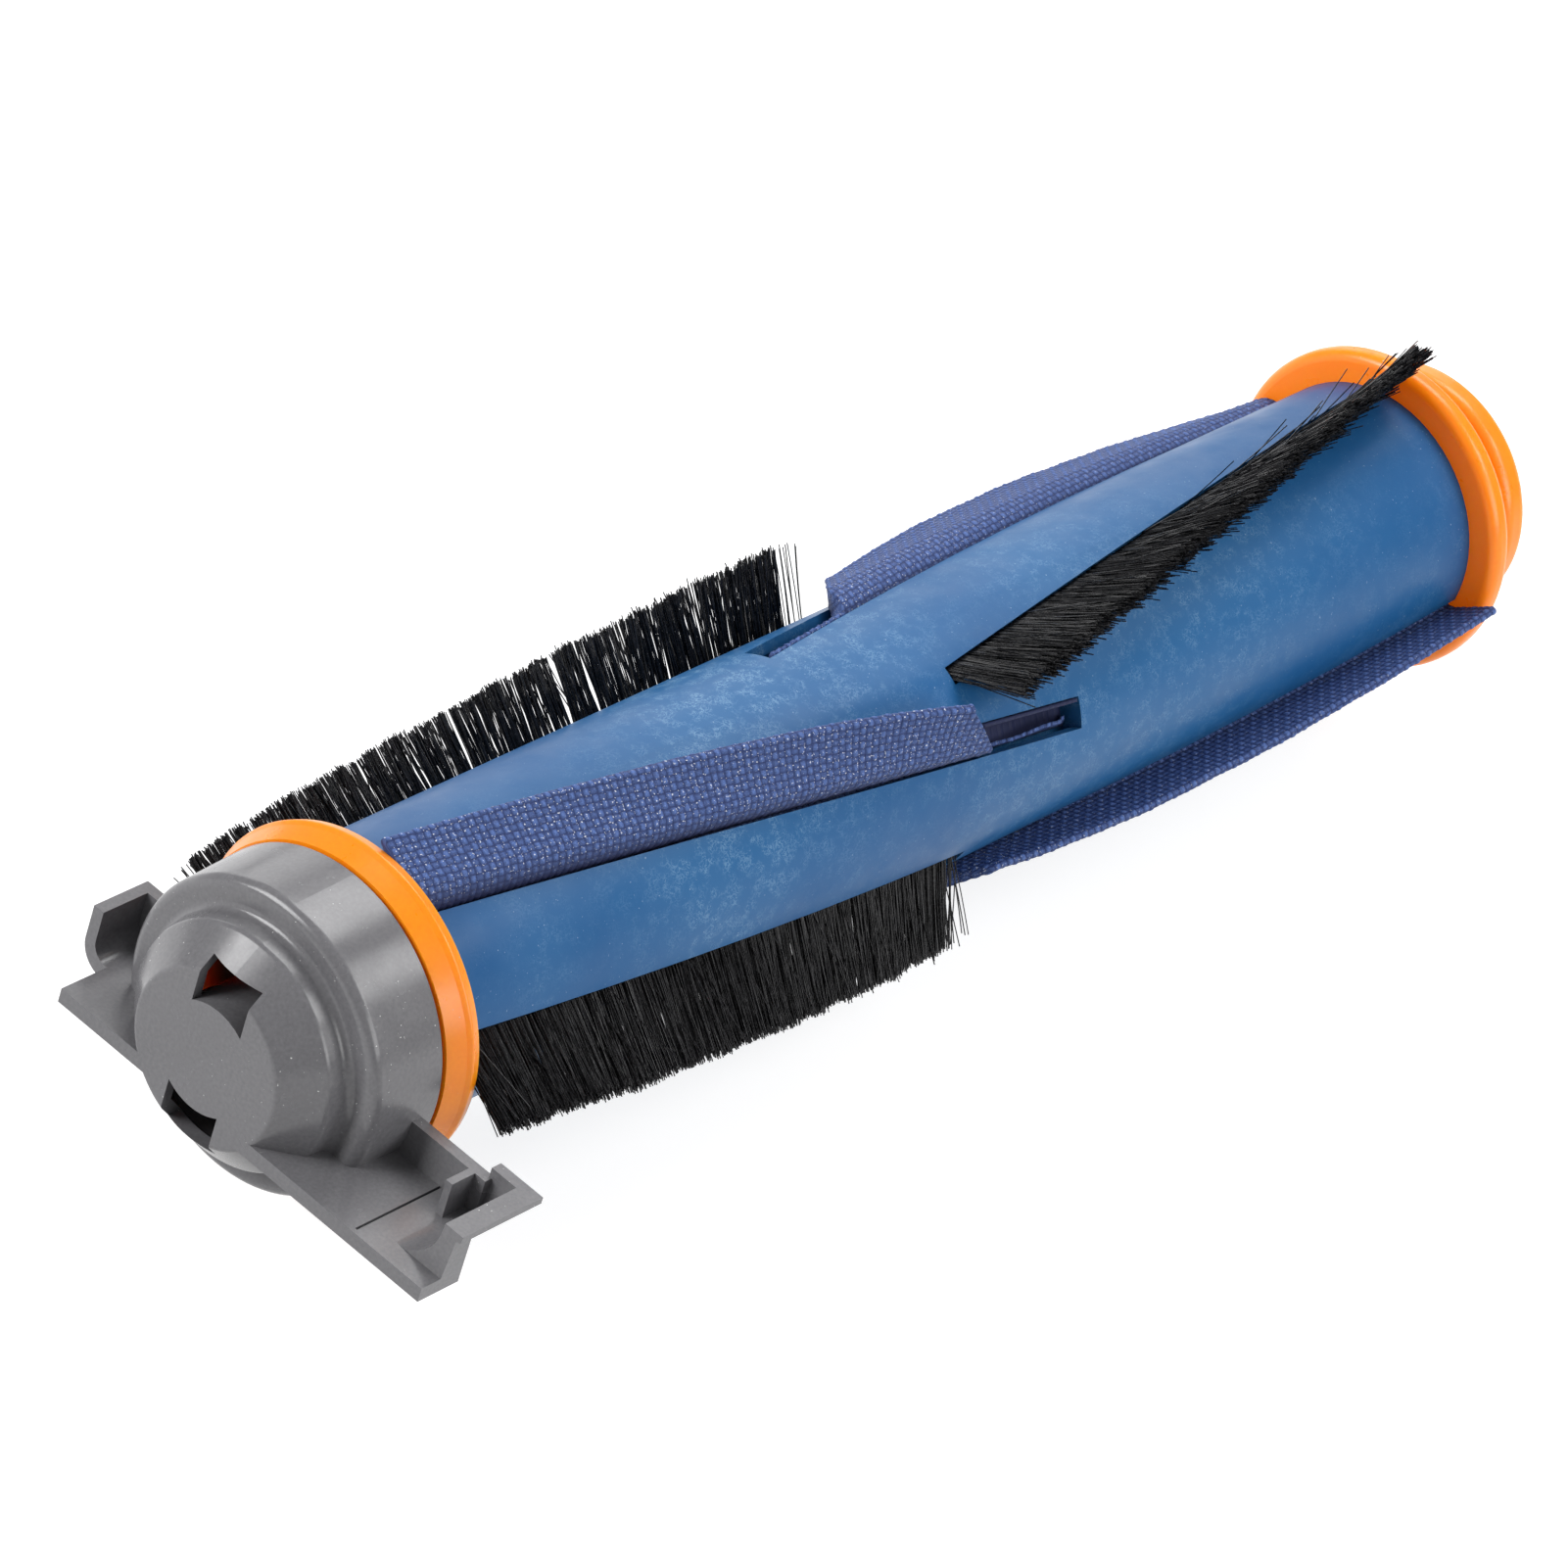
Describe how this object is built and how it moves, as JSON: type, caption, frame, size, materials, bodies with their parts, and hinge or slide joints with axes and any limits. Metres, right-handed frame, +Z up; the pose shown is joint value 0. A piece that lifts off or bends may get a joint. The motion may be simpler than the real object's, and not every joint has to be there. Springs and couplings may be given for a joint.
{
  "type": "robot vacuum roller brush",
  "caption": "Slotted blue roller with chevron fabric blades and bristle rows, an orange disc at each end, turning on a bearing in a grey end cap with side wings.",
  "frame": {"origin": "centre of the end cap's flat front face, on the spin axis", "axes": "+X runs along the spin axis from the end cap to the drive end, +Z is up, square to the end cap's wing plate, and +Y completes the right-handed set"},
  "size_m": [0.2752, 0.0785, 0.065],
  "materials": {
    "grey_plastic": "satin moulded grey plastic with a fine grain",
    "orange_plastic": "satin-gloss orange plastic",
    "blue_plastic": "slightly pearly moulded blue plastic",
    "navy_fabric": "coarse woven navy fabric with pale flecks",
    "black_bristle": "black nylon bristle",
    "black_backing": "black extruded plastic band",
    "bearing_steel": "ground bearing steel",
    "axle_steel": "turned steel pin"
  },
  "bodies": {
    "cap": {"end_cap": "grey_plastic", "bearing_outer_ring": "bearing_steel", "bearing_shield_front": "bearing_steel", "bearing_shield_rear": "bearing_steel"},
    "roller": {"roller_core": "blue_plastic", "near_end_disc": "orange_plastic", "drive_end_cap": "orange_plastic", "axle_pin": "axle_steel", "bearing_inner_ring": "bearing_steel", "fabric_blade_near_1": "navy_fabric", "bristle_backing_near_1": "black_backing", "bristle_row_near_1": "black_bristle", "fabric_blade_near_2": "navy_fabric", "bristle_backing_near_2": "black_backing", "bristle_row_near_2": "black_bristle", "fabric_blade_far_1": "navy_fabric", "bristle_backing_far_1": "black_backing", "bristle_row_far_1": "black_bristle", "fabric_blade_far_2": "navy_fabric", "bristle_backing_far_2": "black_backing", "bristle_row_far_2": "black_bristle"},
    "ball_cage": {"bearing_balls": "bearing_steel", "bearing_cage": "bearing_steel"}
  },
  "joints": [
    {"name": "roller_spin", "type": "hinge", "parent": "cap", "child": "roller", "pos_m": [0.0099, 0, 0], "axis": [1, 0, 0], "continuous": true},
    {"name": "cage_spin", "type": "hinge", "parent": "cap", "child": "ball_cage", "pos_m": [0.0099, 0, 0], "axis": [1, 0, 0], "continuous": true}
  ],
  "couplings": [
    {"joint": "cage_spin", "follows": "roller_spin", "ratio": 0.3737}
  ]
}
